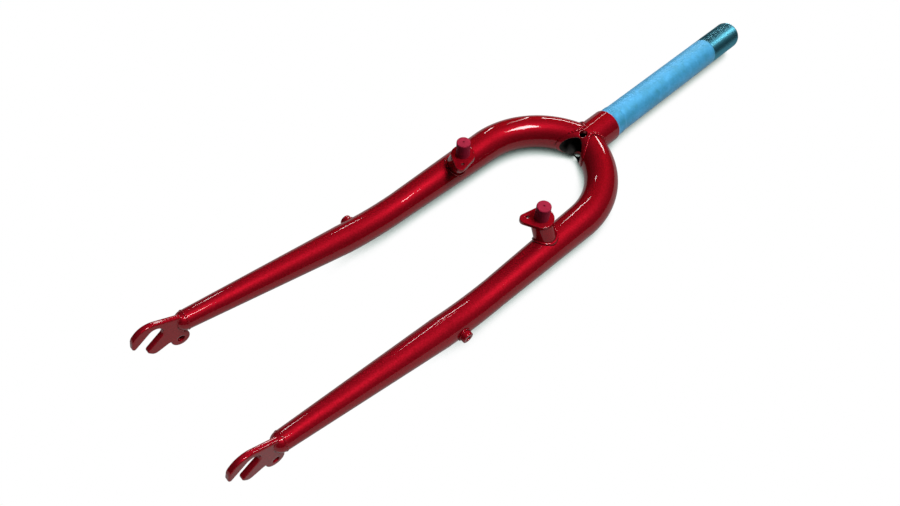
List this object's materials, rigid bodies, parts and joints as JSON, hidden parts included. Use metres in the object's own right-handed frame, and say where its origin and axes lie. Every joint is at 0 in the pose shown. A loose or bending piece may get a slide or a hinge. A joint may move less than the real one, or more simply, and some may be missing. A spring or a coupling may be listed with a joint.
{
  "type": "bicycle fork",
  "caption": "Welded rigid bicycle fork with a threaded steerer, curved tapered blades, slotted dropouts, capped brake studs and eyelets for a rack.",
  "frame": {"origin": "on the steerer's axis at the foot of the crown race seat", "axes": "+X to the rider's left, +Y up the steerer, +Z to the fork's front, which is up as it lies"},
  "size_m": [0.1368, 0.589, 0.0666],
  "materials": {
    "candy_red": "gloss candy red paint",
    "steerer_steel": "bare steel with a bluish film, painted red below the race seat",
    "stud_steel": "turned steel",
    "cap_plastic": "matte crimson plastic"
  },
  "bodies": {
    "root": {"steerer_tube": "steerer_steel", "left_blade": "candy_red", "left_dropout": "candy_red", "left_brake_boss": "candy_red", "left_rack_eyelet": "candy_red", "left_crown_weld": "candy_red", "left_dropout_weld": "candy_red", "left_boss_braze": "candy_red", "left_rack_braze": "candy_red", "left_brake_stud": "stud_steel", "left_stud_cap": "cap_plastic", "right_blade": "candy_red", "right_dropout": "candy_red", "right_brake_boss": "candy_red", "right_rack_eyelet": "candy_red", "right_crown_weld": "candy_red", "right_dropout_weld": "candy_red", "right_boss_braze": "candy_red", "right_rack_braze": "candy_red", "right_brake_stud": "stud_steel", "right_stud_cap": "cap_plastic"}
  },
  "joints": []
}
